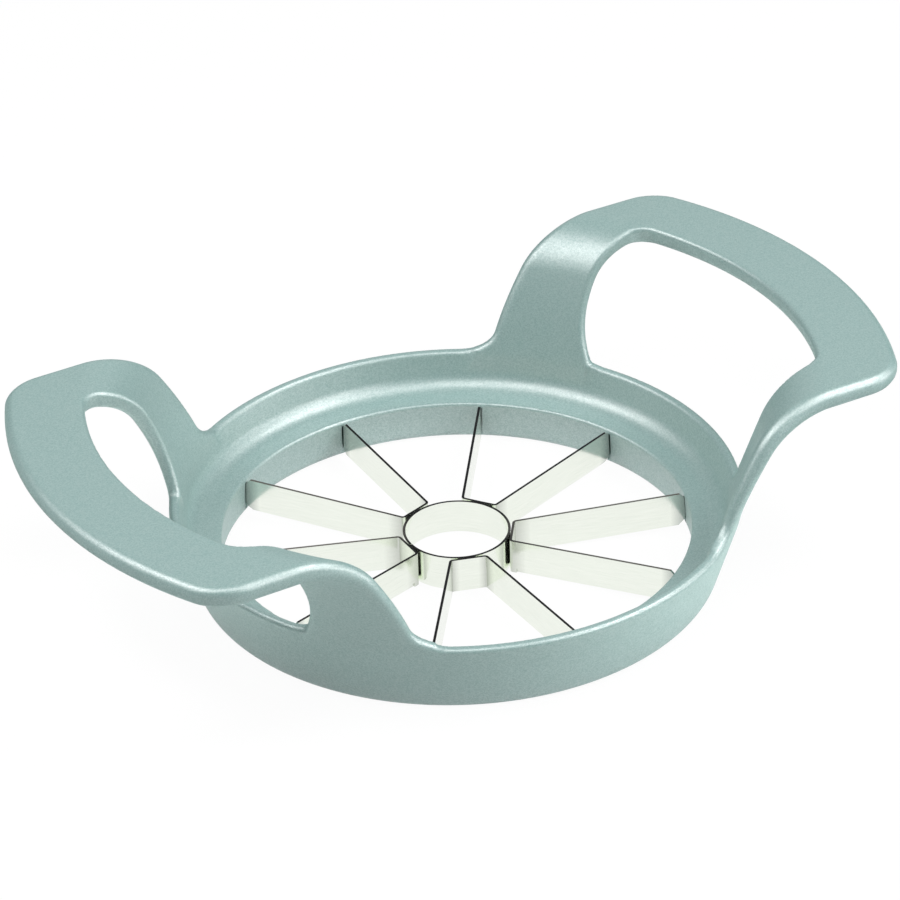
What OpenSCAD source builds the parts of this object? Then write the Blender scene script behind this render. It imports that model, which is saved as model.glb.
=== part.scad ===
// Apple slicer and corer: a cast frame with two loop handles, folded blade
// strips and a rolled corer ring. +Z is up, the handles lie along X, and the
// origin is on the table under the centre of the ring.

/* [Ring] */
// Diameter of the opening at its lip, just over the widest apple
bore_d = 88.4; // [80:0.2:110]
// How much the opening widens on each side from the lip to the table, so that it leaves the mould
bore_draft = 0.4; // [0:0.1:0.8]
// Height of the lip of the opening above the blades
lip_over = 0.1; // [0.05:0.05:1]
// Width of the foot that the ring stands on, before its edges are rounded
foot_w = 4.6; // [4.4:0.1:6]
// Width of the ledge from the lip to the corner of the cove
ledge_w = 5.8; // [5:0.1:6.4]
// How far the ledge climbs on its way to the cove
ledge_rise = 0.5; // [0.2:0.1:1.2]
// Height of the rim above the ledge
funnel_h = 6.9; // [5.5:0.1:9]
// Width of the funnel from the opening to the inner edge of the rim
funnel_w = 7.8; // [7.2:0.1:9]
// Width of the rim on top of the outer wall
rim_w = 2.1; // [2:0.1:3.5]
// Radius of the cove where the ledge turns up into the funnel
cove_r = 4; // [2:0.1:4.4]
// Radius of the rounded edges of the rim
rim_r = 0.9; // [0.4:0.05:0.95]
// Radius of the outer edge of the foot
foot_r = 2.2; // [0.8:0.1:2.4]
// Radius of the inner edge of the foot
bore_foot_r = 1.9; // [0.5:0.1:2.2]
// Radius of the lip of the opening
lip_r = 0.5; // [0.2:0.1:1]

/* [Blades] */
// Number of folded strips, each with two blades
strips = 5; // [3:1:7]
// Height of the blades
blade_h = 6.8; // [5.5:0.1:12]
// How much higher the blades lie at the ring than at the corer
blade_rise = 1.1; // [0:0.1:2]
// Thickness of the strip steel
blade_t = 0.5; // [0.3:0.05:0.8]
// Gap between the table and the sharp lower edges of the blades at the corer
blade_lift = 0.1; // [0.05:0.05:0.8]
// Depth that the ends of the blades reach into the wall of the ring
blade_seat = 0.6; // [0.5:0.1:1.5]
// Size of the cut upper corners at the ends of the blades
top_cut = 1.5; // [0.4:0.1:2]
// Size of the cut lower corners at the ends of the blades
low_cut = 1.7; // [0.4:0.1:2.2]
// Inner radius of the folds in a strip
fold_r = 0.4; // [0.2:0.05:0.8]
// Height of the ground bevel on the cutting edges
bevel_h = 0.9; // [0.3:0.1:1.5]
// Thickness left at the sharp end of the bevel
edge_t = 0.12; // [0.05:0.01:0.2]
// Clearance round the end of a blade in its slot
pocket_gap = 0.08; // [0.04:0.01:0.15]

/* [Corer] */
// Outside diameter of the corer ring
corer_d = 20.4; // [16:0.2:26]
// Thickness of the corer ring
corer_t = 0.5; // [0.3:0.05:0.8]
// Gap between the table and the sharp lower edge of the corer ring
corer_lift = 0.05; // [0:0.05:0.5]
// Clearance between the corer ring and the strips that hold it
weld_gap = 0.05; // [0.03:0.01:0.1]
// Width of the seam where the rolled ring closes
seam_w = 0.12; // [0.08:0.02:0.3]

/* [Handles] */
// Reach of a grip beyond the outside of the ring
handle_reach = 28.4; // [25:0.1:36]
// Height of the top of the grips above the rim
grip_rise = 24.7; // [21:0.1:34]
// How far the outer sides of the legs lie inside the width of the ring
handle_inset = 11.5; // [9:0.1:20]
// Width of a leg
leg_w = 11.7; // [10:0.1:16]
// Width of the grip, from the finger opening to its outer edge
grip_w = 14.6; // [11:0.1:16]
// Thickness of the grip
grip_t = 3.9; // [3.4:0.1:5]
// Thickness of the legs where they leave the rim
leg_t = 2.5; // [2.3:0.1:3.4]
// Outward lean of the legs at the rim, in degrees
leg_lean = 15; // [10:0.5:17]
// Outward lean of the legs where the bend starts, in degrees
bend_lean = 25; // [21:0.5:30]
// Radius of the bend from the legs to the grip, at mid thickness
bend_r = 11.7; // [8:0.1:13]
// Fall of the grips towards their outer edges, in degrees
grip_droop = 0.5; // [0:0.5:4]
// Radius of the outer corners of a handle
corner_r = 5; // [3:0.5:9]
// Radius of the upper corners of the finger opening
gap_r = 2.5; // [2:0.5:6]
// Radius of the fillet from the outer side of a leg to the rim
foot_fillet = 4; // [2:0.5:8]
// Radius of the fillet from the inner side of a leg to the rim
gap_fillet = 1.2; // [0.8:0.1:5]
// How much a leg widens towards the rim on the side of the finger opening
leg_flare = 4.2; // [0:0.2:5]
// How far the outer side of a leg draws in towards the rim
leg_draw = 0.8; // [0:0.1:2]
// Radius of the rounded edges of a handle
edge_r = 1.8; // [0.6:0.1:2]

/* [Hidden] */

cast_colour = [0.60, 0.68, 0.68];
steel_colour = [0.80, 0.80, 0.78];
// Facets of the ring, of the corer, of a rounded corner and of a handle
ring_fn = 180;
corer_fn = 96;
arc_steps = 6;
leg_steps = 18;
bend_steps = 7;
grip_steps = 5;
edge_steps = 3;
face_steps = 4;
// How strongly the sections of a leg crowd together towards the rim
leg_crowding = 1.6;
// Solids that are cut through reach this much further than what they cut
over = 1;

bore_r = bore_d / 2;
bore_low_r = bore_r + bore_draft;
corer_top = blade_lift + blade_h;
blade_top = corer_top + blade_rise;
wall_h = blade_top + lip_over;
ring_h = wall_h + ledge_rise + funnel_h;
rim_in_r = bore_r + funnel_w;
ring_r = rim_in_r + rim_w;
seat_r = bore_r + blade_seat;
corer_r = corer_d / 2;
half_step = 90 / strips;
chord_r = corer_r + weld_gap + blade_t / 2;
blade_slope = blade_rise / (bore_r - chord_r);

// Root of a leg inside the ring: its depth, its thickness at the end, and its
// lean, which follows the funnel
root_d = 4.9;
root_t = 1.2;
root_lean = atan((funnel_w - ledge_w) / funnel_h);
// The outer face of a leg lies this far inside the outer wall of the ring
leg_sink = 0.2;
// Lowest height above the rim at which the fillets of a leg still widen
fillet_start = 0.45;
// The bevel of a blade starts this far from its fold
bevel_start = 1.2;

leg_r = ring_r - leg_sink - leg_t / 2;
handle_y = ring_r - handle_inset;
gap_y = handle_y - leg_w;
grip_z = ring_h + grip_rise - grip_t / 2;
// Middle of the sheet from rim to grip: a slow arc up the leg, then the bend
leg_arc_r = (grip_z - ring_h - bend_r * (1 - sin(bend_lean))) / (sin(bend_lean) - sin(leg_lean));
leg_arc = [leg_r + leg_arc_r * cos(leg_lean), ring_h - leg_arc_r * sin(leg_lean)];
bend_arc = leg_arc - (leg_arc_r - bend_r) * [cos(bend_lean), -sin(bend_lean)];
leg_s = leg_arc_r * (bend_lean - leg_lean) * PI / 180;
bend_s = bend_r * (90 + grip_droop - bend_lean) * PI / 180;
grip_start = bend_arc + bend_r * [sin(grip_droop), cos(grip_droop)];
end_s = leg_s + bend_s + (ring_r + handle_reach - grip_start.x) / cos(grip_droop);
gap_s = end_s - grip_w;

function unit(v) = v / norm(v);

// Arc of radius r in place of corner b between a and c
function corner(a, b, c, r) =
    let (u = unit(a - b), v = unit(c - b),
         half = acos(u * v) / 2,
         centre = b + unit(u + v) * r / sin(half),
         p = b + u * r / tan(half) - centre,
         q = b + v * r / tan(half) - centre,
         from = atan2(p.y, p.x),
         turn = (atan2(q.y, q.x) - from + 540) % 360 - 180)
    [for (i = [0:arc_steps])
        let (t = from + turn * i / arc_steps) centre + r * [cos(t), sin(t)]];

// Closed outline through corners given as [x, y, radius]
function rounded(c) =
    let (n = len(c), at = function(i) [c[(i + n) % n].x, c[(i + n) % n].y])
    [for (i = [0:n - 1]) each corner(at(i - 1), at(i), at(i + 1), c[i].z)];

// Section of the ring, from the opening outwards
function ring_section() = rounded([
    [bore_low_r, 0, bore_foot_r],
    [bore_low_r + foot_w, 0, foot_r],
    [ring_r, ring_h, rim_r],
    [rim_in_r, ring_h, rim_r],
    [bore_r + ledge_w, wall_h + ledge_rise, cove_r],
    [bore_r, wall_h, lip_r]]);

// Height of a blade's lower edge at radius r: the blades climb from the corer to the ring
function blade_low(r) = blade_lift + blade_slope * (r - chord_r);

// Outline of a blade in radius and height, from the axis to its end
function blade_outline() =
    let (low_r = seat_r - low_cut, top_r = seat_r - top_cut)
    [[0, blade_low(0)], [low_r, blade_low(low_r)], [seat_r, blade_low(seat_r) + low_cut],
     [seat_r, blade_low(seat_r) + blade_h - top_cut], [top_r, blade_low(top_r) + blade_h],
     [0, blade_low(0) + blade_h]];

// Outline of the slot in the wall that takes its end from below
function slot_end() =
    let (end = seat_r + pocket_gap, top_r = end - top_cut,
         top = blade_low(seat_r) + blade_h + pocket_gap,
         in_r = bore_r - top_cut)
    [[in_r, -over], [end, -over], [end, top - top_cut], [top_r, top - blade_slope * top_cut],
     [in_r, top - blade_slope * (end - in_r)]];

module ring() {
    difference() {
        rotate_extrude($fn = ring_fn) polygon(ring_section());
        for (k = [1:2 * strips])
            rotate([90, 0, half_step * (2 * k - 1)])
                linear_extrude(blade_t + 2 * pocket_gap, center = true)
                    polygon(slot_end());
    }
}

// Point at angle t on an arc in radius and height, with the direction outwards from its centre
function on_arc(centre, r, t) = [centre.x - r * cos(t), centre.y + r * sin(t), -cos(t), sin(t)];

// Middle of the handle's sheet at distance s up from the rim: radius, height
// and the direction that faces the apple on a leg and the sky on a grip
function sheet(s) =
    s < 0 ? [leg_r + s * sin(root_lean), ring_h + s * cos(root_lean), -cos(root_lean), sin(root_lean)] :
    s < leg_s ? on_arc(leg_arc, leg_arc_r, leg_lean + s / leg_arc_r * 180 / PI) :
    s < leg_s + bend_s ? on_arc(bend_arc, bend_r, bend_lean + (s - leg_s) / bend_r * 180 / PI) :
    let (d = s - leg_s - bend_s, c = cos(grip_droop), h = sin(grip_droop))
    [grip_start.x + d * c, grip_start.y - d * h, h, c];

function smooth(x) = let (t = min(max(x, 0), 1)) t * t * (3 - 2 * t);

function sheet_t(s) =
    s < 0 ? leg_t + (leg_t - root_t) * s / root_d :
    leg_t + (grip_t - leg_t) * smooth(s / (leg_s + bend_s));

// How much a fillet of radius r widens a leg at distance s above the rim
function widening(r, s) = let (h = max(s, fillet_start)) h < r ? r - sqrt(r * r - (r - h) * (r - h)) : 0;

// How much of an offset a at the rim is left at distance s: none from half way round the bend
function flare(a, s) = a * pow(1 - min(s / (leg_s + bend_s / 2), 1), 2);

// One half of the loop, from foot to middle: points on the edge of the finger
// opening and on the outer edge, each as [side distance y, distance s]
function leg_inside(s) = gap_y - flare(leg_flare, s) - widening(gap_fillet, s);
function leg_outside(s) = handle_y - flare(leg_draw, s) + widening(foot_fillet, s);
function leg_station(t) =
    let (si = t * (gap_s - gap_r), so = t * (end_s - corner_r))
    [[leg_inside(si), si], [leg_outside(so), so]];
function half_loop() = concat(
    [[[leg_inside(0), -root_d], [leg_outside(0), -root_d]]],
    [for (k = [0:leg_steps]) leg_station(pow(k / leg_steps, leg_crowding))],
    [for (k = [1:bend_steps]) let (t = 90 * k / bend_steps)
        [[gap_y - gap_r * (1 - cos(t)), gap_s - gap_r * (1 - sin(t))],
         [handle_y - corner_r * (1 - cos(t)), end_s - corner_r * (1 - sin(t))]]],
    [for (k = [1:grip_steps]) let (f = 1 - k / grip_steps)
        [[(gap_y - gap_r) * f, gap_s], [(handle_y - corner_r) * f, end_s]]]);
function loop() =
    let (h = half_loop(), n = len(h))
    concat(h, [for (k = [n - 2:-1:0]) [for (p = h[k]) [-p.x, p.y]]]);

// Point on a station's section: w runs from the finger opening to the outer
// edge, side is 1 on the upper face and -1 on the lower, drop rounds the edge
function section_point(station, w, side, drop) =
    let (p = station[0] + (station[1] - station[0]) * w,
         m = sheet(p.y),
         v = side * (sheet_t(p.y) / 2 - drop),
         r = m[0] + m[2] * v,
         y = p.x * r / m[0])
    [sqrt(r * r - y * y), y, m[1] + m[3] * v];

// Largest share of the thickness that one rounded edge takes
edge_share = 0.45;
function section(station) =
    let (width = norm(station[1] - station[0]),
         thin = min(sheet_t(station[0].y), sheet_t(station[1].y)),
         er = min(edge_r, edge_share * thin),
         rise = [for (k = [0:edge_steps]) let (t = 90 * k / edge_steps)
                 [er * (1 - cos(t)) / width, er * (1 - sin(t))]],
         low = er / width,
         flat = [for (k = [1:face_steps - 1]) [low + (1 - 2 * low) * k / face_steps, 0]],
         fall = [for (k = [edge_steps:-1:0]) [1 - rise[k].x, rise[k].y]],
         across = concat(rise, flat, fall),
         last = len(across) - 1)
    concat([for (a = across) section_point(station, a.x, 1, a.y)],
           [for (k = [last:-1:0]) section_point(station, across[k].x, -1, across[k].y)]);

module handle() {
    stations = loop();
    rings = [for (st = stations) section(st)];
    n = len(rings[0]);
    count = len(rings);
    side = [for (k = [0:count - 2], i = [0:n - 1])
        let (a = k * n + i, b = k * n + (i + 1) % n) each [[a, b, a + n], [b, b + n, a + n]]];
    cap = [for (i = [0:n / 2 - 2]) each [[i, n - 1 - i, i + 1], [i + 1, n - 1 - i, n - 2 - i]]];
    far = (count - 1) * n;
    polyhedron(
        [for (ring = rings) each ring],
        concat(side, cap, [for (f = cap) [far + f[2], far + f[1], far + f[0]]]));
}

module cast_frame() {
    color(cast_colour) union() {
        ring();
        handle();
        mirror([1, 0, 0]) handle();
    }
}

// Middle line of half a strip in plan: the end of the blade, then its fold
function strip_half() =
    let (along = [cos(half_step), sin(half_step)])
    [seat_r * along, chord_r / cos(half_step) * along];

// One face of a strip at distance d from its middle line, with the folds as arcs
function strip_face(d) =
    let (s = sin(half_step), c = cos(half_step),
         end = strip_half()[0] + d * [-s, c],
         fold = [chord_r - d, ((chord_r - d) * s + d) / c],
         flip = function(v) [v.x, -v.y],
         r = fold_r + blade_t / 2 + d)
    concat([end], corner(end, fold, flip(fold), r), corner(fold, flip(fold), flip(end), r), [flip(end)]);

// Wedge ground away from the outer face of a blade, along its lower edge above the +X axis
module bevel(from_r) {
    flat = blade_t / 2 - edge_t;
    translate([from_r, 0, blade_low(from_r)]) rotate([0, -atan(blade_slope), 0])
        rotate([90, 0, 90]) linear_extrude(seat_r + over - from_r)
            polygon([[-flat, 0], [blade_t / 2, bevel_h], [blade_t / 2 + over, bevel_h],
                     [blade_t / 2 + over, -over], [-flat, -over]]);
}

module blade_strip(k) {
    outer = strip_face(blade_t / 2);
    inner = strip_face(-blade_t / 2);
    bevel_r = norm(strip_half()[1]) + bevel_start;
    color(steel_colour) rotate(2 * half_step * (2 * k - 1)) difference() {
        intersection() {
            linear_extrude(wall_h) polygon(concat(outer, [for (i = [len(inner) - 1:-1:0]) inner[i]]));
            rotate_extrude($fn = ring_fn) polygon(blade_outline());
        }
        for (m = [0, 1]) mirror([0, m, 0]) rotate(half_step) bevel(bevel_r);
    }
}

module corer_ring() {
    color(steel_colour) difference() {
        rotate_extrude($fn = corer_fn) polygon([
            [corer_r, corer_lift], [corer_r, corer_top],
            [corer_r - corer_t, corer_top], [corer_r - corer_t, corer_lift + bevel_h],
            [corer_r - edge_t, corer_lift]]);
        translate([-corer_r - over, -seam_w / 2, 0]) cube([corer_t + 2 * over, seam_w, corer_top + over]);
    }
}

cast_frame();
for (k = [1:strips]) blade_strip(k);
corer_ring();
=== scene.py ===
# %% [markdown]
# An apple slicer in Blender
#
# The real object is a small casting: a ring that stands on the table, with a
# loop handle on each side. Five folded strips of stainless steel make its ten
# blades, and a rolled strip makes the corer in the middle. The pieces come in
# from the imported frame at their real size. The steel ones keep their shape and
# get a finish. The casting gets a new skin, because its charm is in the soft
# flow from the ring into the handles, which flat facets can't show.

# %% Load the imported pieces
import math

import bmesh
import bpy
import numpy as np
from mathutils import Matrix, Vector


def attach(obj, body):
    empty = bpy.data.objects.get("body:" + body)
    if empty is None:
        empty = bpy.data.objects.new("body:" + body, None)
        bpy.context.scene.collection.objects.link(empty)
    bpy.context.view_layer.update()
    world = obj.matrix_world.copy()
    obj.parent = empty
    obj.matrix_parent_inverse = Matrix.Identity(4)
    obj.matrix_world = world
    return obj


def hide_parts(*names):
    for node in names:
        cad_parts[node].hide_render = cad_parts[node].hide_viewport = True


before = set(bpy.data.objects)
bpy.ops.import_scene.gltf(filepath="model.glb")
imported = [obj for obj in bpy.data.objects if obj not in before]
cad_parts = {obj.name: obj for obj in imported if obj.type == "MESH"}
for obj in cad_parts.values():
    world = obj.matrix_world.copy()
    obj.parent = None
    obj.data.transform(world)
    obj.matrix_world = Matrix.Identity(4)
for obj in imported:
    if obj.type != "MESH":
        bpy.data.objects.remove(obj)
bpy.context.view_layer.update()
MM = 0.001
print("pieces in the frame:", sorted(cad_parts))

# %% [markdown]
# The camera. Its place was worked out from the outline of the object in the
# photograph: 31 degrees above the table, 29 degrees round from the side, with
# a long lens that hardly converges. The picture is also turned by 1.8 degrees,
# which is why the right handle rides a little high. The camera looks straight
# at a point beside the corer, so it needs no lens shift.

# %% Place the camera
CAMERA_AZIMUTH = math.radians(-29.08)
CAMERA_ELEVATION = math.radians(31.27)
CAMERA_ROLL = math.radians(-1.79)
CAMERA_DISTANCE = 830 * MM
CAMERA_AIM = Vector((12.95, 24.93, 7.3)) * MM
CAMERA_LENS, CAMERA_SENSOR = 171.1, 36
CAMERA_RIGHT = Vector((math.cos(CAMERA_AZIMUTH), math.sin(CAMERA_AZIMUTH), 0))
NEAREST_SEEN, FARTHEST_SEEN = 0.05, 20


def direction(turn, rise):
    """The way from the table to something: turn is its azimuth from -Y, rise its height in angle."""
    level = math.cos(rise)
    return Vector((math.sin(turn) * level, -math.cos(turn) * level, math.sin(rise)))


def make_camera():
    """A camera at the photograph's viewing angle."""
    back = direction(CAMERA_AZIMUTH, CAMERA_ELEVATION)
    up = back.cross(CAMERA_RIGHT)
    axes = Matrix((CAMERA_RIGHT, up, back)).transposed() @ Matrix.Rotation(CAMERA_ROLL, 3, "Z")
    data = bpy.data.cameras.new("camera")
    data.lens = CAMERA_LENS
    data.sensor_width = CAMERA_SENSOR
    data.clip_start, data.clip_end = NEAREST_SEEN, FARTHEST_SEEN
    camera = bpy.data.objects.new("camera", data)
    camera.matrix_world = Matrix.Translation(CAMERA_AIM + back * CAMERA_DISTANCE) @ axes.to_4x4()
    bpy.context.scene.collection.objects.link(camera)
    bpy.context.scene.camera = camera
    return camera


camera = make_camera()
print("camera at", [round(x, 3) for x in camera.location])

# %% [markdown]
# The sizes of the casting, in millimetres: the section of the ring, then the
# sheet of metal that each handle is bent from. They are the ones that its solid
# was made from, so the skin that is worked out below lies on the solid. Only the
# inner sides of the legs flare a little more near the rim, as the photograph shows.

# %% Sizes of the ring
BORE_R, BORE_LOW_R = 44.2, 44.6
LIP_H = 8.1
FOOT_W = 4.6
LEDGE_W, LEDGE_H = 5.8, 8.6
FUNNEL_W = 7.8
RING_H, RING_R = 15.5, 54.1
RIM_R, COVE_R, LIP_R = 0.9, 4.0, 0.5
FOOT_R, BORE_FOOT_R = 2.2, 1.9
ARC_STEPS = 18

# %% Sizes of a handle
LEG_T, GRIP_T = 2.5, 3.9
LEG_LEAN, BEND_LEAN = math.radians(15), math.radians(25)
ROOT_LEAN = math.atan((FUNNEL_W - LEDGE_W) / (RING_H - LEDGE_H))
ROOT_D, ROOT_T = 4.9, 1.2
BEND_R = 11.7
DROOP = math.radians(0.5)
GRIP_TOP = 40.2
GRIP_END_R = 82.5
GRIP_W = 14.6
HANDLE_Y = 42.6
GAP_Y = 30.9
CORNER_R, GAP_R = 5.0, 2.5
FOOT_FILLET, GAP_FILLET = 4.0, 1.2
LEG_FLARE, LEG_DRAW = 5.0, 0.8
LEG_FLARE_POWER, LEG_DRAW_POWER = 3, 2
FILLET_START = 0.45
LEG_INSET = 0.2

# Middle line of the sheet in radius and height: leg arc, bend arc, then grip
LEG_R = RING_R - LEG_INSET - LEG_T / 2
GRIP_Z = GRIP_TOP - GRIP_T / 2
LEG_RISE = GRIP_Z - RING_H - BEND_R * (1 - math.sin(BEND_LEAN))
LEG_ARC_R = LEG_RISE / (math.sin(BEND_LEAN) - math.sin(LEG_LEAN))
LEG_ARC = np.array([LEG_R, RING_H]) + LEG_ARC_R * np.array([math.cos(LEG_LEAN), -math.sin(LEG_LEAN)])
BEND_ARC = LEG_ARC - (LEG_ARC_R - BEND_R) * np.array([math.cos(BEND_LEAN), -math.sin(BEND_LEAN)])
GRIP_START = BEND_ARC + BEND_R * np.array([math.sin(DROOP), math.cos(DROOP)])
LEG_S = LEG_ARC_R * (BEND_LEAN - LEG_LEAN)
BEND_S = BEND_R * (math.pi / 2 + DROOP - BEND_LEAN)
END_S = LEG_S + BEND_S + (GRIP_END_R - GRIP_START[0]) / math.cos(DROOP)
GAP_S = END_S - GRIP_W
print(f"sheet from rim to the outer edge of the grip: {END_S:.1f} mm")

# %% [markdown]
# How the skin is found. A casting like this could be built with subdivision
# surfaces or with bevelled booleans, but both struggle where a thin leg grows
# out of a round rim at a slant. Here the shape is a distance field instead: a
# formula that says for any point how far it is from the metal. Two such fields
# run into each other softly, which is just what molten metal does in a mould.

# %% Outlines with rounded corners
def rounded(corners):
    """A closed outline through corners given as (x, y, radius), each turned into an arc."""
    points = []
    count = len(corners)
    for i in range(count):
        before, here, after = (np.array(corners[(i + k) % count][:2], float) for k in (-1, 0, 1))
        u = (before - here) / np.linalg.norm(before - here)
        v = (after - here) / np.linalg.norm(after - here)
        half = math.acos(u @ v) / 2
        middle = here + (u + v) / np.linalg.norm(u + v) * corners[i][2] / math.sin(half)
        start, end = (here + w * corners[i][2] / math.tan(half) - middle for w in (u, v))
        angle = math.atan2(start[1], start[0])
        turn = (math.atan2(end[1], end[0]) - angle + 3 * math.pi) % (2 * math.pi) - math.pi
        for k in range(ARC_STEPS + 1):
            a = angle + turn * k / ARC_STEPS
            points.append(middle + corners[i][2] * np.array([math.cos(a), math.sin(a)]))
    return np.array(points)


RING_OUTLINE = rounded([
    (BORE_LOW_R, 0, BORE_FOOT_R),
    (BORE_LOW_R + FOOT_W, 0, FOOT_R),
    (RING_R, RING_H, RIM_R),
    (BORE_R + FUNNEL_W, RING_H, RIM_R),
    (BORE_R + LEDGE_W, LEDGE_H, COVE_R),
    (BORE_R, LIP_H, LIP_R)])
print("points round the ring's section:", len(RING_OUTLINE))


# %% Distance to an outline
SHORTEST_EDGE = 1e-6
RING_CHART_BOX, RING_CHART_STEP = ((38, -4), (60, 22)), 0.05
LOOP_CHART_BOX, LOOP_CHART_STEP = ((-60, -10), (60, 70)), 0.12


def outline_distance(x, y, outline):
    """Distance from points to a closed outline, negative inside it."""
    nearest = np.full(x.shape, np.inf)
    inside = np.zeros(x.shape, bool)
    for (ax, ay), (bx, by) in zip(outline, np.roll(outline, -1, 0)):
        ex, ey = bx - ax, by - ay
        length = ex * ex + ey * ey
        if length < SHORTEST_EDGE ** 2:
            continue
        along = np.clip(((x - ax) * ex + (y - ay) * ey) / length, 0, 1)
        nearest = np.minimum(nearest, (x - ax - along * ex) ** 2 + (y - ay - along * ey) ** 2)
        if ay != by:
            crosses = (ay > y) != (by > y)
            inside ^= crosses & (x < ax + (y - ay) / (by - ay) * ex)
    return np.where(inside, -1, 1) * np.sqrt(nearest)


class Chart:
    """The distances to an outline, worked out once on a fine grid and read from it later."""

    def __init__(self, outline, low, high, step):
        self.low, self.step = low, step
        x, y = (np.arange(a, b, step) for a, b in zip(low, high))
        self.values = outline_distance(*np.meshgrid(x, y, indexing="ij"), outline)

    def read(self, x, y):
        """Distances at points, each weighed from the four corners of its square."""
        u, v = (np.clip((w - a) / self.step, 0, n - 1.001)
                for w, a, n in zip((x, y), self.low, self.values.shape))
        i, j = u.astype(int), v.astype(int)
        u, v = u - i, v - j
        near, far = (self.values[k, j] * (1 - v) + self.values[k, j + 1] * v for k in (i, i + 1))
        return near * (1 - u) + far * u


RING_CHART = Chart(RING_OUTLINE, *RING_CHART_BOX, RING_CHART_STEP)

# %% [markdown]
# A handle is one sheet of metal. Seen along its own length it is a loop, drawn
# here on flat paper: y runs across the handle and s runs from the rim up the
# legs, round the bend and out over the grip. The outline widens in a fillet
# where it meets the rim.

# %% The loop of a handle on flat paper
SIDE_POINTS, CORNER_POINTS = 40, 12
CLOSER_AT_FOOT = 1.6


def widening(radius, s):
    """How much a fillet of that radius widens a leg at distance s above the rim."""
    h = np.maximum(s, FILLET_START)
    arc = np.sqrt(np.maximum(radius ** 2 - (radius - h) ** 2, 0))
    return np.where(h < radius, radius - arc, 0)


def flare(offset, power, s):
    """How much of an offset at the rim is left at distance s: none from half way round the bend."""
    return offset * (1 - np.clip(s / (LEG_S + BEND_S / 2), 0, 1)) ** power


def loop_side(edge_y, edge_s, corner_r, fillet, offset, power, sign):
    """Outline of a loop's edge: up one leg, over the top and down the other."""
    s = (np.linspace(0, 1, SIDE_POINTS) ** CLOSER_AT_FOOT) * (edge_s - corner_r)
    y = edge_y - flare(offset, power, s) + sign * widening(fillet, s)
    t = np.linspace(0, math.pi / 2, CORNER_POINTS)[1:]
    y = np.concatenate([[y[0]], y, edge_y - corner_r * (1 - np.cos(t))])
    s = np.concatenate([[-ROOT_D], s, edge_s - corner_r * (1 - np.sin(t))])
    half = np.stack([y, s], 1)
    return np.concatenate([half, half[::-1] * [-1, 1]])


LOOP_OUTSIDE = loop_side(HANDLE_Y, END_S, CORNER_R, FOOT_FILLET, LEG_DRAW, LEG_DRAW_POWER, 1)
LOOP_OPENING = loop_side(GAP_Y, GAP_S, GAP_R, GAP_FILLET, LEG_FLARE, LEG_FLARE_POWER, -1)
LOOP_OPENING[[0, -1], 1] = -ROOT_D - 1
OUTSIDE_CHART, OPENING_CHART = (
    Chart(line, *LOOP_CHART_BOX, LOOP_CHART_STEP) for line in (LOOP_OUTSIDE, LOOP_OPENING))
print(f"finger opening: {2 * GAP_Y:.0f} mm wide, grip {GRIP_W:.1f} mm deep")


# %% From a point in space to the flat paper
def unroll(r, z):
    """Distance s along the sheet and height v above its middle, for a radius and a height."""
    def polar(centre):
        dx, dz = centre[0] - r, z - centre[1]
        return np.hypot(dx, dz), np.arctan2(dz, dx)

    leg_r, leg_t = polar(LEG_ARC)
    bend_r, bend_t = polar(BEND_ARC)
    grip_s = (r - GRIP_START[0]) * math.cos(DROOP) - (z - GRIP_START[1]) * math.sin(DROOP)
    grip_v = (r - GRIP_START[0]) * math.sin(DROOP) + (z - GRIP_START[1]) * math.cos(DROOP)
    root_s = (r - LEG_R) * math.sin(ROOT_LEAN) + (z - RING_H) * math.cos(ROOT_LEAN)
    root_v = -(r - LEG_R) * math.cos(ROOT_LEAN) + (z - RING_H) * math.sin(ROOT_LEAN)
    where = [grip_s > 0, bend_t > BEND_LEAN, leg_t > LEG_LEAN]
    s = np.select(where, [LEG_S + BEND_S + grip_s, LEG_S + (bend_t - BEND_LEAN) * BEND_R,
                          (leg_t - LEG_LEAN) * LEG_ARC_R], root_s)
    v = np.select(where, [grip_v, bend_r - BEND_R, leg_r - LEG_ARC_R], root_v)
    return s, v


def sheet_thickness(s):
    """Thin at the rim, full at the grip."""
    def smooth(x):
        x = np.clip(x, 0, 1)
        return x * x * (3 - 2 * x)

    growth = (GRIP_T - LEG_T) * smooth(s / (LEG_S + BEND_S))
    return LEG_T + growth - (LEG_T - ROOT_T) * smooth(-s / ROOT_D)


# %% [markdown]
# The fields of the two shapes. The ring is its section turned round the axis.
# The handle is the flat loop given a thickness, with the edges rounded off:
# crisply round the top of the finger opening and fully everywhere else, as a
# hand would feel them. A soft minimum then lets the two run together. Its reach
# is BLEND where the surfaces meet squarely and shrinks to nothing where they
# run alongside, because there a fillet would only swell the wall. It also ends
# below the rim, where the root of a leg is buried in the ring.

# %% Fields of the ring and the handles
EDGE_R = 1.7
OPENING_EDGE_R = 0.9
FULLEST_EDGE = 0.45
BLEND = 2.2
BLEND_FROM_Z, BLEND_FULL_Z = 11.5, 13.0
REACH, WIDE_REACH = 0.06, 0.5


def rounded_edge(side, face, radius):
    """Meeting of a side wall and a face, with the edge between them rounded."""
    a, b = side + radius, face + radius
    return np.minimum(np.maximum(a, b), 0) + np.hypot(np.maximum(a, 0), np.maximum(b, 0)) - radius


def ring_field(p):
    return RING_CHART.read(np.hypot(p[:, 0], p[:, 1]), p[:, 2])


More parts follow.
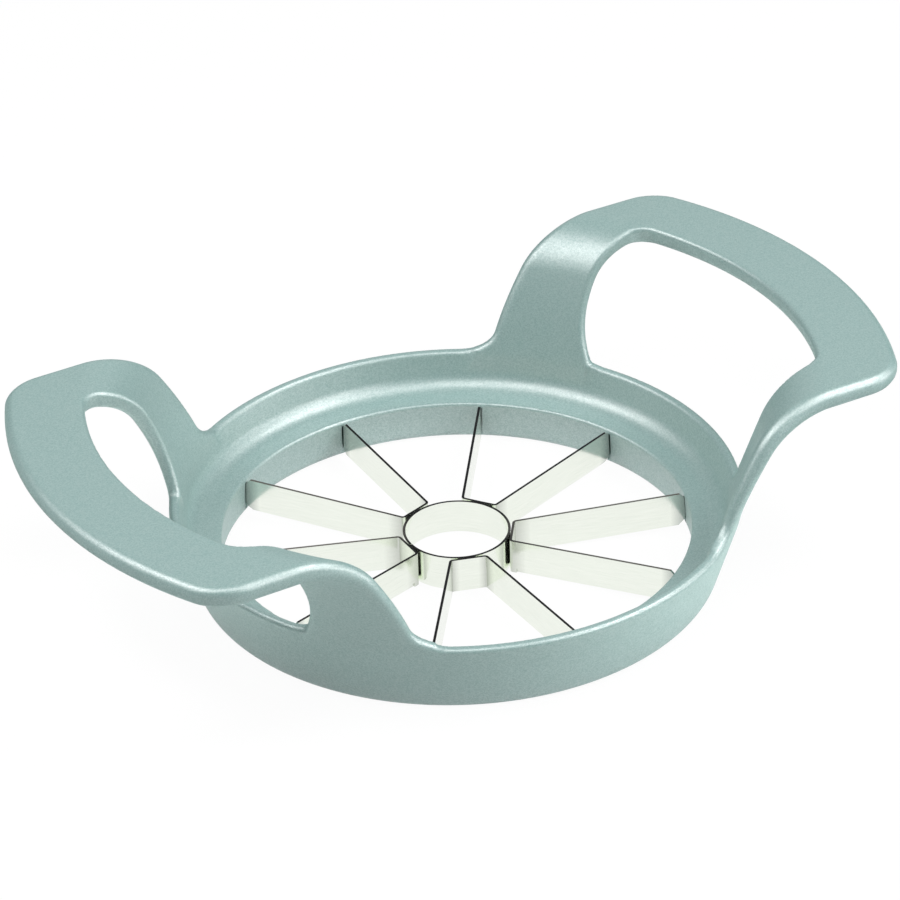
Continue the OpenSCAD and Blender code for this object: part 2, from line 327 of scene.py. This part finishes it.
def handle_field(p):
    x, y, z = p.T
    r = np.hypot(x, y)
    s, v = unroll(r, z)
    thickness = sheet_thickness(s)
    across = y * sheet_radius(s) / r
    face = np.abs(v) - thickness / 2
    outside = OUTSIDE_CHART.read(across, s)
    opening = -OPENING_CHART.read(across, s)
    limit = FULLEST_EDGE * thickness
    outer = rounded_edge(outside, face, np.minimum(EDGE_R, limit))
    inner = rounded_edge(opening, face, np.minimum(np.where(v > 0, OPENING_EDGE_R, EDGE_R), limit))
    return np.maximum(outer, inner)


def sheet_radius(s):
    """Radius of the sheet's middle at distance s."""
    leg = LEG_ARC[0] - LEG_ARC_R * np.cos(LEG_LEAN + s / LEG_ARC_R)
    bend = BEND_ARC[0] - BEND_R * np.cos(BEND_LEAN + (s - LEG_S) / BEND_R)
    grip = GRIP_START[0] + (s - LEG_S - BEND_S) * math.cos(DROOP)
    root = LEG_R + s * math.sin(ROOT_LEAN)
    return np.select([s < 0, s < LEG_S, s < LEG_S + BEND_S], [root, leg, bend], grip)


def unit(v):
    return v / np.maximum(np.linalg.norm(v, axis=1), 1e-9)[:, None]


def slope(field, p, reach=REACH):
    """Direction and steepness of a field, from small steps each way."""
    steps = np.eye(3) * reach
    return np.stack([(field(p + d) - field(p - d)) / (2 * reach) for d in steps], 1)


def casting(p):
    """Distance from the metal of the whole casting, and the slope there, for points in mm."""
    a, b = ring_field(p), handle_field(p)
    slope_a, slope_b = slope(ring_field, p), slope(handle_field, p)
    wide_a, wide_b = slope(ring_field, p, WIDE_REACH), slope(handle_field, p, WIDE_REACH)
    apart = 1 - np.clip((unit(wide_a) * unit(wide_b)).sum(1), 0, 1)
    above = np.clip((p[:, 2] - BLEND_FROM_Z) / (BLEND_FULL_Z - BLEND_FROM_Z), 0, 1)
    reach = np.maximum(BLEND * apart * above, 1e-6)
    h = np.maximum(1 - np.abs(a - b) / reach, 0)
    share = np.where(a < b, 1 - h / 2, h / 2)[:, None]
    return np.minimum(a, b) - h * h * reach / 4, slope_a * share + slope_b * (1 - share)


def casting_field(p):
    return casting(p)[0]


# %% [markdown]
# The skin itself. The solid casting is copied, its blade slots are filled, and
# a voxel remesh turns it into even little squares. Those squares are rough, but
# each corner then walks down the field until it stands on the true surface,
# and a little smoothing along the surface evens out the spacing.

# %% Mesh helpers
def mesh_arrays(mesh):
    points = np.empty(len(mesh.vertices) * 3, np.float32)
    mesh.vertices.foreach_get("co", points)
    edges = np.empty(len(mesh.edges) * 2, np.int32)
    mesh.edges.foreach_get("vertices", edges)
    return points.reshape(-1, 3).astype(float), edges.reshape(-1, 2)


def bake_modifiers(piece):
    """Turns what the modifiers make into the piece's own mesh."""
    graph = bpy.context.evaluated_depsgraph_get()
    mesh = bpy.data.meshes.new_from_object(piece.evaluated_get(graph))
    piece.modifiers.clear()
    piece.data = mesh


def new_piece(name, mesh):
    piece = bpy.data.objects.new(name, mesh)
    bpy.context.scene.collection.objects.link(piece)
    return piece


# %% Prisms round the ring
STRIPS = 5
HALF_STEP = math.pi / 2 / STRIPS


def prisms_round_the_ring(outline, width):
    """One closed mesh of ten prisms, each an outline in radius and height made width wide."""
    prisms = bmesh.new()
    for k in range(2 * STRIPS):
        angle = HALF_STEP * (2 * k + 1)
        along = Vector((math.cos(angle), math.sin(angle), 0))
        side = Vector((-math.sin(angle), math.cos(angle), 0)) * width / 2
        line = [along * r + Vector((0, 0, z)) for r, z in outline]
        ends = [[prisms.verts.new((p + sign * side) * MM) for p in line] for sign in (-1, 1)]
        count = len(outline)
        for i in range(count):
            j = (i + 1) % count
            prisms.faces.new((ends[0][i], ends[0][j], ends[1][j], ends[1][i]))
        prisms.faces.new(ends[0][::-1])
        prisms.faces.new(ends[1])
    bmesh.ops.recalc_face_normals(prisms, faces=prisms.faces)
    mesh = bpy.data.meshes.new("prisms")
    prisms.to_mesh(mesh)
    prisms.free()
    return mesh


# %% Voxel skin of the solid
VOXEL = 0.55 * MM
SLOT_FILLER = [(44.62, 1.2), (46.5, 1.2), (46.5, 7.5), (44.3, 7.5)]
FILLER_WIDTH = 1.4


def rough_skin():
    """The solid casting with its slots filled, remeshed into even squares."""
    build = bmesh.new()
    build.from_mesh(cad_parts["cast_frame"].data)
    build.from_mesh(prisms_round_the_ring(SLOT_FILLER, FILLER_WIDTH))
    mesh = bpy.data.meshes.new("casting")
    build.to_mesh(mesh)
    build.free()
    piece = new_piece("casting_skin", mesh)
    remesh = piece.modifiers.new("voxels", "REMESH")
    remesh.mode = "VOXEL"
    remesh.voxel_size = VOXEL
    bake_modifiers(piece)
    return piece


skin = rough_skin()
print("squares in the rough skin:", len(skin.data.polygons))

# %% Settle the skin on the true surface
SETTLE_STEPS, EVEN_STEPS, LAST_STEPS = 6, 5, 3
EVEN_PACE = 0.5
LONGEST_STEP, LEAST_SLOPE = 0.5, 0.05
STRAY = 0.002
STRAY_STEPS, STRAY_PACE = 20, 0.4


def settle(p, times, pace=1.0):
    """Walks points down the field on to the surface, and gives the surface's direction there."""
    for _ in range(times):
        depth, g = casting(p)
        step = depth / np.maximum((g * g).sum(1), LEAST_SLOPE)
        step = np.clip(step, -LONGEST_STEP, LONGEST_STEP)
        p = p - pace * g * step[:, None]
    return p, unit(g)


def even_out(p, normal, edges):
    """Moves each point towards the middle of its neighbours, along the surface only."""
    total = np.zeros_like(p)
    count = np.bincount(edges.ravel(), minlength=len(p))[:, None]
    for a, b in ((0, 1), (1, 0)):
        np.add.at(total, edges[:, a], p[edges[:, b]])
    move = total / count - p
    move -= normal * (move * normal).sum(1)[:, None]
    return p + EVEN_PACE * move


points, edges = mesh_arrays(skin.data)
points, normals = settle(points / MM, SETTLE_STEPS)
for _ in range(EVEN_STEPS):
    points, normals = settle(even_out(points, normals, edges), 1)
points, normals = settle(points, LAST_STEPS)
stray = np.abs(casting_field(points)) > STRAY
points[stray] = settle(points[stray], STRAY_STEPS, STRAY_PACE)[0]
skin.data.vertices.foreach_set("co", (points * MM).astype(np.float32).ravel())
skin.data.update()
print(f"largest distance from the surface: {np.abs(casting_field(points)).max():.3f} mm")

# %% [markdown]
# The blade slots. Each blade end sits in a slot that is open below, a little
# wider than the steel. They are cut with a boolean, which is quick and clean
# here because the skin is closed.

# %% Cut the blade slots
SLOT_GAP, SLOT_SIDE_GAP = 0.08, 0.2
BLADE_T = 0.5
SEAT_R = 44.8
BLADE_END_TOP = 8.02
BLADE_SLOPE = 0.0326
BLADE_CUT = 1.5


def cut_slots(piece):
    """Cuts ten slots with the blade end's outline: its upper corner is cut off at a slant."""
    inner, end, top = BORE_R - BLADE_CUT, SEAT_R + SLOT_GAP, BLADE_END_TOP + SLOT_GAP
    outline = [
        (inner, -1),
        (end, -1),
        (end, top - BLADE_CUT),
        (end - BLADE_CUT, top - BLADE_SLOPE * BLADE_CUT),
        (inner, top - BLADE_SLOPE * (end - inner))]
    cutter = new_piece("slot_cutter", prisms_round_the_ring(outline, BLADE_T + 2 * SLOT_SIDE_GAP))
    cut = piece.modifiers.new("slots", "BOOLEAN")
    cut.operation = "DIFFERENCE"
    cut.solver = "MANIFOLD"
    cut.object = cutter
    bake_modifiers(piece)
    bpy.data.objects.remove(cutter)


cut_slots(skin)
print("faces in the finished casting:", len(skin.data.polygons))

# %% [markdown]
# The shading. A mesh of small squares shows faint unevenness in highlights, even
# where its corners are right. The field knows the true direction of the surface,
# so each corner of each face is told that direction. Only where a face stands
# across it, in the walls of the slots, does the face keep its own.

# %% Shade the skin by the field
SAME_SIDE = math.cos(math.radians(40))


def shade_by_field(mesh):
    mesh.shade_smooth()
    points, _ = mesh_arrays(mesh)
    corner = np.empty(len(mesh.loops), np.int32)
    mesh.loops.foreach_get("vertex_index", corner)
    own = np.empty(len(mesh.polygons) * 3, np.float32)
    mesh.polygons.foreach_get("normal", own)
    corners = np.empty(len(mesh.polygons), np.int32)
    mesh.polygons.foreach_get("loop_total", corners)
    own = np.repeat(own.reshape(-1, 3), corners, 0)
    true = unit(slope(casting_field, points / MM))[corner]
    agrees = (true * own).sum(1) > SAME_SIDE
    mesh.normals_split_custom_set(np.where(agrees[:, None], true, own).tolist())
    return 1 - agrees.mean()


print(f"share of corners that keep their own direction: {shade_by_field(skin.data):.4f}")

# %% [markdown]
# A small tool for finishes. A material in Blender is a sheet of nodes. Writing
# sums of nodes by hand is hard to read, so a wire between nodes is wrapped in a
# class here, and ordinary Python sums on wires add the Math nodes.

# %% Wires and sheets of nodes
NOISE_LOW, NOISE_HIGH = 0.3, 0.7


class Wire:
    """A node's output that can be used in sums."""

    def __init__(self, sheet, socket):
        self.sheet, self.socket = sheet, socket

    def __add__(self, other):
        return self.sheet.maths("ADD", self, other)

    def __mul__(self, other):
        return self.sheet.maths("MULTIPLY", self, other)

    def __sub__(self, other):
        return self.sheet.maths("SUBTRACT", self, other)

    def __rsub__(self, other):
        return self.sheet.maths("SUBTRACT", other, self)


class Sheet:
    """The node sheet of one material."""

    def __init__(self, name):
        self.material = bpy.data.materials.new(name)
        self.material.use_nodes = True
        self.tree = self.material.node_tree
        self.tree.nodes.clear()

    def node(self, kind, settings=None, inputs=None, output=0):
        """Adds a node: its settings first, then the values or wires of its sockets."""
        made = self.tree.nodes.new(kind)
        for name, value in (settings or {}).items():
            setattr(made, name, value)
        for name, value in (inputs or {}).items():
            socket = made.inputs[name]
            if isinstance(value, Wire):
                self.tree.links.new(value.socket, socket)
            else:
                socket.default_value = value
        return Wire(self, made.outputs[output])

    def maths(self, operation, first, second):
        return self.node("ShaderNodeMath", {"operation": operation}, {0: first, 1: second})

    def vector(self, operation, first, second=None, output=0):
        """A sum on vectors. Output 1 is its number, for a length or a dot product."""
        inputs = {0: first} if second is None else {0: first, 1: second}
        return self.node("ShaderNodeVectorMath", {"operation": operation}, inputs, output)

    def blend(self, share, first, second):
        """A colour between two colours."""
        return self.node("ShaderNodeMix", {"data_type": "RGBA"}, {0: share, 6: first, 7: second}, 2)

    def place(self):
        """Where on the object a point lies, in metres."""
        return self.node("ShaderNodeTexCoord", output=3)

    def noise(self, where, size, detail=2.0, roughness=0.5):
        """Soft noise whose blobs measure about size metres, from 0 to 1."""
        return self.node("ShaderNodeTexNoise", {}, {
            "Vector": where, "Scale": 1 / size, "Detail": detail, "Roughness": roughness})

    def remap(self, value, start, end, to_start=0.0, to_end=1.0):
        """Turns the range from start to end into another one, and holds still beyond it."""
        return self.node("ShaderNodeMapRange", {}, {
            0: value, 1: start, 2: end, 3: to_start, 4: to_end})

    def bump(self, height, strength, distance):
        return self.node("ShaderNodeBump", {}, {
            "Height": height, "Strength": strength, "Distance": distance})

    def finish(self, surface):
        """Wires a surface to the output and gives the material."""
        output = self.tree.nodes.new("ShaderNodeOutputMaterial")
        self.tree.links.new(surface.socket, output.inputs["Surface"])
        return self.material


def colour(red, green, blue):
    """A colour as a screen shows it, from 0 to 255, for a socket."""
    def linear(c):
        c /= 255
        return c / 12.92 if c <= 0.04045 else ((c + 0.055) / 1.055) ** 2.4

    return (linear(red), linear(green), linear(blue), 1)


# %% [markdown]
# The paint on the casting. It is a silver-grey enamel with a cool, slightly
# green cast and very fine flakes of bright metal in it. The paint alone is matt
# and takes the tint, and the flakes alone mirror the lamps without a tint, so
# the sheen is whiter than the paint. The flakes are small cells. Each has its
# own share of metal and its own gloss, which leaves a fine grain close up.

# %% Paint for the casting
PAINT = colour(131, 162, 159)
PAINT_DARK = colour(117, 149, 147)
PAINT_LIGHT = colour(145, 175, 171)
FLAKE_METAL = colour(228, 230, 229)
FLAKE, CLOUD, BROAD = 0.2 * MM, 0.45 * MM, 14 * MM
FLAKE_WEIGHT, CLOUD_WEIGHT = 0.6, 0.4
GRAIN_LOW, GRAIN_HIGH = 0.2, 0.8
LEAST_METAL, MOST_METAL = 0.16, 0.34
LEAST_PLAIN, MOST_PLAIN = 0.3, 0.5
GLOSSY_FLAKE, DULL_FLAKE = 0.36, 0.5
PAINT_ROUGHNESS = 0.5
ENAMEL_BUMP, ENAMEL_DEPTH = 0.2, 0.04 * MM


def enamel():
    sheet = Sheet("silver_grey_enamel")
    where = sheet.place()
    flake = sheet.node("ShaderNodeTexVoronoi", {}, {"Vector": where, "Scale": 1 / FLAKE}, 1)
    shine = sheet.node("ShaderNodeSeparateColor", {}, {"Color": flake}, 0)
    tilt = sheet.node("ShaderNodeSeparateColor", {}, {"Color": flake}, 1)
    cloud = sheet.noise(where, CLOUD, roughness=0.6)
    broad = sheet.noise(where, BROAD, detail=1.0)
    grain = shine * FLAKE_WEIGHT + cloud * CLOUD_WEIGHT
    base = sheet.blend(sheet.remap(grain, GRAIN_LOW, GRAIN_HIGH), PAINT_DARK, PAINT_LIGHT)
    plain = sheet.remap(broad, NOISE_LOW, NOISE_HIGH, LEAST_PLAIN, MOST_PLAIN)
    base = sheet.blend(plain, base, PAINT)
    bump = sheet.bump(grain, ENAMEL_BUMP, ENAMEL_DEPTH)
    paint = sheet.node("ShaderNodeBsdfPrincipled", {}, {
        "Base Color": base, "Roughness": PAINT_ROUGHNESS, "Normal": bump})
    metal = sheet.node("ShaderNodeBsdfPrincipled", {}, {
        "Base Color": FLAKE_METAL, "Metallic": 1.0, "Normal": bump,
        "Roughness": sheet.remap(tilt, 0.0, 1.0, GLOSSY_FLAKE, DULL_FLAKE)})
    share = sheet.remap(grain, GRAIN_LOW, GRAIN_HIGH, LEAST_METAL, MOST_METAL)
    return sheet.finish(sheet.node("ShaderNodeMixShader", {}, {0: share, 1: paint, 2: metal}))


skin.data.materials.clear()
skin.data.materials.append(enamel())

# %% [markdown]
# The steel of the blades and the corer. It is bright cold-rolled strip, so it
# mirrors what stands round it, a little blurred along the direction in which it
# was rolled. That direction is level on every strip, so the streaks are noise
# that is long in the level directions and very short in height. The sheared
# upper edges are rougher, and a painted shade makes them thin dark lines, darker
# on the blades that run towards the camera than on those that run across. The
# faces near the folds and near the ring get a painted grey reflection of what they mirror there.

# %% Steel for the blades
STEEL = colour(250, 254, 245)
STEEL_STREAK = colour(245, 250, 240)
# Painted shade for the upper edges: darker on blades that run towards the camera
PAINTED_EDGE_SHADE_ALONG = colour(48, 48, 50)
PAINTED_EDGE_SHADE_ACROSS = colour(150, 146, 140)
# Painted grey reflections near the folds and near the ring
PAINTED_REFLECTION_NEAR_FOLD = colour(120, 122, 118)
PAINTED_REFLECTION_NEAR_RING = colour(92, 108, 112)
FOLD_R, FOLD_EDGE, FOLD_SHADE_W, FOLD_SHADE = 11.2 * MM, 0.3 * MM, 3 * MM, 0.4
RING_SHADE_W, RING_SHADE = 2.7 * MM, 0.55
STREAK, SMUDGE = 0.22 * MM, 6 * MM
ALONG_THE_STRIP = (0.05, 0.05, 1.0)
POLISHED, SMUDGED, SHEARED = 0.1, 0.18, 0.25
FACING_UP = (0.75, 0.95)
SEEN_ACROSS = (0.55, 0.85)
STREAK_BUMP, STREAK_DEPTH = 0.06, 0.02 * MM


def shade_where_mirrored(sheet, where, base):
    """Paints grey reflections on the steel beside its folds and beside the ring."""
    away = sheet.vector("LENGTH", sheet.vector("MULTIPLY", where, (1, 1, 0)), output=1)
    past_fold = sheet.remap(away, FOLD_R - FOLD_EDGE, FOLD_R)
    near_fold = past_fold * sheet.remap(away, FOLD_R, FOLD_R + FOLD_SHADE_W, FOLD_SHADE, 0.0)
    base = sheet.blend(near_fold, base, PAINTED_REFLECTION_NEAR_FOLD)
    bore = BORE_R * MM
    near_ring = sheet.remap(away, bore - RING_SHADE_W, bore, 0.0, RING_SHADE)
    return sheet.blend(near_ring, base, PAINTED_REFLECTION_NEAR_RING)


def strip_steel():
    sheet = Sheet("rolled_strip_steel")
    where = sheet.place()
    streaks = sheet.noise(sheet.vector("MULTIPLY", where, ALONG_THE_STRIP), STREAK)
    smudge = sheet.noise(where, SMUDGE)
    facing = sheet.node("ShaderNodeNewGeometry", output=1)
    upward = sheet.node("ShaderNodeSeparateXYZ", {}, {0: facing}, 2)
    edge = sheet.remap(upward, *FACING_UP)
    # Painted shade on the upper edges, darker where a blade runs towards the camera
    sideways = sheet.vector("DOT_PRODUCT", sheet.vector("NORMALIZE", where), CAMERA_RIGHT, 1)
    across = sheet.remap(sideways * sideways, *SEEN_ACROSS)
    base = sheet.blend(sheet.remap(streaks, NOISE_LOW, NOISE_HIGH), STEEL_STREAK, STEEL)
    base = shade_where_mirrored(sheet, where, base)
    base = sheet.blend(edge, base, sheet.blend(across, PAINTED_EDGE_SHADE_ALONG, PAINTED_EDGE_SHADE_ACROSS))
    rough = sheet.remap(smudge, NOISE_LOW, NOISE_HIGH, POLISHED, SMUDGED) + edge * SHEARED
    surface = sheet.node("ShaderNodeBsdfPrincipled", {}, {
        "Base Color": base, "Roughness": rough, "Metallic": 1.0,
        "Normal": sheet.bump(streaks, STREAK_BUMP, STREAK_DEPTH)})
    return sheet.finish(surface)


steel = strip_steel()
steel_pieces = [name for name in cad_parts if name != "cast_frame"]
for name in steel_pieces:
    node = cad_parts[name]
    node.data.materials.clear()
    node.data.materials.append(steel)
print("steel pieces:", steel_pieces)

# %% [markdown]
# The table and the light. The photograph was taken on white, with soft boxes to
# the right and left and weaker ones in front and overhead. That gives bright
# sides, a sheen on the bends of the handles and a calm middle. To the camera the
# floor and the far surroundings are white, and the floor takes a faint shadow.
# The metal mirrors a floor whose glow is painted light: a little green, and darker
# in front, where the camera stands in the light, than at the sides and inside the ring.

# %% Floor and world
FLOOR_SIZE = 4.0
SHADOW_SHARE = 0.05
WHITE, BLACK = (1, 1, 1, 1), (0, 0, 0, 1)
MATT_WHITE = (0.9, 0.9, 0.9, 1)
# Painted light and shade in the floor's glow that the metal mirrors
FLOOR_INSIDE_RING = (0.92, 0.92, 0.92, 1)
BRIGHTEST_FLOOR = (1.14, 1.33, 1.28, 1)
FLOOR_IN_FRONT, FLOOR_AT_SIDES, FLOOR_FAR_OFF = 0.33, 0.6, 0.24
DARKEST_AT, SIDE_WIDTH = -8 * MM, 55 * MM
UNDER_RING = (46 * MM, 54 * MM)
FAR_OFF = (76 * MM, 88 * MM)
SURROUNDINGS = 0.04


def painted_floor_glow(sheet, where):
    """Painted light: the floor's glow where the metal mirrors it, darker in front and brighter at
    the sides.
    """
    across = sheet.vector("DOT_PRODUCT", where, CAMERA_RIGHT, 1)
    away = sheet.vector("LENGTH", where, output=1)
    aside = (across - DARKEST_AT) * (1 / SIDE_WIDTH)
    outside = sheet.maths("MINIMUM", aside * aside * FLOOR_AT_SIDES + FLOOR_IN_FRONT, 1.0)
    outside = sheet.remap(away, *FAR_OFF) * (FLOOR_FAR_OFF - outside) + outside
    outside = sheet.blend(outside, BLACK, BRIGHTEST_FLOOR)
    return sheet.blend(sheet.remap(away, *UNDER_RING), FLOOR_INSIDE_RING, outside)


def make_floor():
    mesh = bpy.data.meshes.new("floor")
    h = FLOOR_SIZE / 2
    mesh.from_pydata([(-h, -h, 0), (h, -h, 0), (h, h, 0), (-h, h, 0)], [], [(0, 1, 2, 3)])
    floor = new_piece("floor", mesh)
    sheet = Sheet("white_table")
    by_camera = sheet.node("ShaderNodeLightPath", output=0)
    by_metal = sheet.node("ShaderNodeLightPath", output=3)
    seen = sheet.maths("MAXIMUM", by_camera, by_metal)
    glow = sheet.blend(by_camera, painted_floor_glow(sheet, sheet.place()), WHITE)
    white = sheet.node("ShaderNodeEmission", {}, {"Color": glow})
    matt = sheet.node("ShaderNodeBsdfDiffuse", {}, {"Color": MATT_WHITE})
    surface = sheet.node("ShaderNodeMixShader", {}, {
        0: seen * (1 - SHADOW_SHARE), 1: matt, 2: white})
    mesh.materials.append(sheet.finish(surface))


def make_world():
    """White where the camera sees it, dim where it would light the object."""
    world = bpy.data.worlds.new("surroundings")
    world.use_nodes = True
    nodes, links = world.node_tree.nodes, world.node_tree.links
    background = nodes["Background"]
    background.inputs["Color"].default_value = WHITE
    path, strength = nodes.new("ShaderNodeLightPath"), nodes.new("ShaderNodeMapRange")
    strength.inputs[3].default_value = SURROUNDINGS
    links.new(path.outputs["Is Camera Ray"], strength.inputs[0])
    links.new(strength.outputs[0], background.inputs["Strength"])
    bpy.context.scene.world = world


make_floor()
make_world()

# %% Lamps
LAMP_AWAY = 800
LAMP_AIM = Vector((0, 0, 15))


def soft_box(name, turn, rise, size, power):
    """A square lamp: turn degrees round from the camera to the right, rise degrees up, size mm."""
    away = direction(CAMERA_AZIMUTH + math.radians(turn), math.radians(rise))
    data = bpy.data.lights.new(name, "AREA")
    data.shape = "SQUARE"
    data.size = size * MM
    data.energy = power
    lamp = bpy.data.objects.new(name, data)
    lamp.location = (LAMP_AIM + away * LAMP_AWAY) * MM
    lamp.rotation_mode = "QUATERNION"
    lamp.rotation_quaternion = away.to_track_quat("Z", "Y")
    bpy.context.scene.collection.objects.link(lamp)


soft_box("right_high", 90, 52, 360, 3.4)
soft_box("right_low", 90, 8, 360, 1.9)
soft_box("front_right", 60, 30, 360, 2.3)
soft_box("overhead", 0, 66, 360, 1.6)
soft_box("front_left", 315, 52, 360, 1.7)
soft_box("left_high", 270, 52, 360, 2.2)
soft_box("left_low", 270, 30, 360, 1.0)
soft_box("behind", 180, 30, 600, 0.5)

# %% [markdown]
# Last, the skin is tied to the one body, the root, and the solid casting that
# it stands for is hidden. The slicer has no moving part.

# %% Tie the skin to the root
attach(skin, "root")
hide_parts("cast_frame")

bpy.context.scene.view_settings.view_transform = "Standard"
